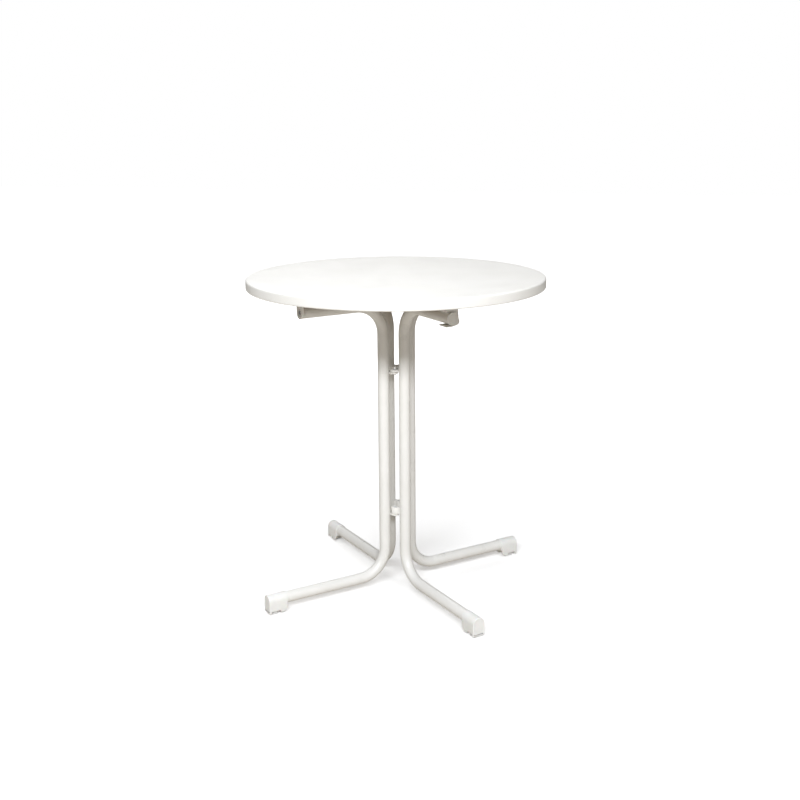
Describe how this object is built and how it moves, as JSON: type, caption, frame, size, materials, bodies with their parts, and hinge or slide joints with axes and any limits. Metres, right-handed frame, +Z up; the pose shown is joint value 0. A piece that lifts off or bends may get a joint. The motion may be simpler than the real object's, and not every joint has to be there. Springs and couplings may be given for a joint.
{
  "type": "folding table",
  "caption": "Round folding table: a moulded top on C-bent steel tubes joined in a central column, with hinged legs that swing in to fold flat and levelling feet under plastic caps.",
  "frame": {"origin": "on the floor, under the centre of the round top", "axes": "+Z up; the legs point along the diagonals of X and Y; -Y is the front, between the front-left fixed leg and the front-right swinging leg"},
  "size_m": [0.65, 0.65, 0.72],
  "materials": {
    "moulded_top": "smooth moulded resin board, satin white",
    "powder_coated_steel": "white powder coat, satin with a faint texture",
    "white_plastic": "injection-moulded white polypropylene, satin",
    "levelling_foot_plastic": "pale grey moulded polyamide, matt",
    "nylon_washer": "natural nylon",
    "zinc_plated_steel": "bright zinc plating"
  },
  "bodies": {
    "frame": {"bracket_screw_back_right_1": "zinc_plated_steel", "bracket_screw_back_right_2": "zinc_plated_steel", "bracket_screw_front_left_1": "zinc_plated_steel", "bracket_screw_front_left_2": "zinc_plated_steel", "fixed_tube_back_right": "powder_coated_steel", "fixed_tube_front_left": "powder_coated_steel", "foot_cap_back_right": "white_plastic", "foot_cap_front_left": "white_plastic", "hinge_pin_back_lower": "zinc_plated_steel", "hinge_pin_back_upper": "zinc_plated_steel", "hinge_pin_front_lower": "zinc_plated_steel", "hinge_pin_front_upper": "zinc_plated_steel", "hinge_washer_back_lower": "nylon_washer", "hinge_washer_back_upper": "nylon_washer", "hinge_washer_front_lower": "nylon_washer", "hinge_washer_front_upper": "nylon_washer", "hook_clip_back_left": "white_plastic", "hook_clip_front_right": "white_plastic", "hook_screw_back_left_1": "zinc_plated_steel", "hook_screw_back_left_2": "zinc_plated_steel", "hook_screw_front_right_1": "zinc_plated_steel", "hook_screw_front_right_2": "zinc_plated_steel", "link_plate_lower": "powder_coated_steel", "link_plate_upper": "powder_coated_steel", "pivot_bracket_back_right": "white_plastic", "pivot_bracket_front_left": "white_plastic", "pivot_plug_back_right": "white_plastic", "pivot_plug_front_left": "white_plastic", "pivot_screw_back_right": "zinc_plated_steel", "pivot_screw_front_left": "zinc_plated_steel", "table_top": "moulded_top"},
    "swing_leg_front_right": {"arm_plug_front_right": "white_plastic", "foot_cap_front_right": "white_plastic", "hinge_barrel_front_lower": "powder_coated_steel", "hinge_barrel_front_upper": "powder_coated_steel", "swing_tube_front_right": "powder_coated_steel"},
    "swing_leg_back_left": {"arm_plug_back_left": "white_plastic", "foot_cap_back_left": "white_plastic", "hinge_barrel_back_lower": "powder_coated_steel", "hinge_barrel_back_upper": "powder_coated_steel", "swing_tube_back_left": "powder_coated_steel"},
    "foot_front_left": {"levelling_foot_front_left": "levelling_foot_plastic"},
    "foot_back_right": {"levelling_foot_back_right": "levelling_foot_plastic"},
    "foot_front_right": {"levelling_foot_front_right": "levelling_foot_plastic"},
    "foot_back_left": {"levelling_foot_back_left": "levelling_foot_plastic"}
  },
  "joints": [
    {"name": "swing_front_right", "type": "hinge", "parent": "frame", "child": "swing_leg_front_right", "pos_m": [0, -0.02086, 0], "axis": [0, 0, -1], "range_deg": [0, 90]},
    {"name": "swing_back_left", "type": "hinge", "parent": "frame", "child": "swing_leg_back_left", "pos_m": [0, 0.02086, 0], "axis": [0, 0, -1], "range_deg": [0, 90]},
    {"name": "level_front_left", "type": "slide", "parent": "frame", "child": "foot_front_left", "axis": [0, 0, -1], "range_m": [0, 0.004]},
    {"name": "level_back_right", "type": "slide", "parent": "frame", "child": "foot_back_right", "axis": [0, 0, -1], "range_m": [0, 0.004]},
    {"name": "level_front_right", "type": "slide", "parent": "swing_leg_front_right", "child": "foot_front_right", "axis": [0, 0, -1], "range_m": [0, 0.004]},
    {"name": "level_back_left", "type": "slide", "parent": "swing_leg_back_left", "child": "foot_back_left", "axis": [0, 0, -1], "range_m": [0, 0.004]}
  ]
}
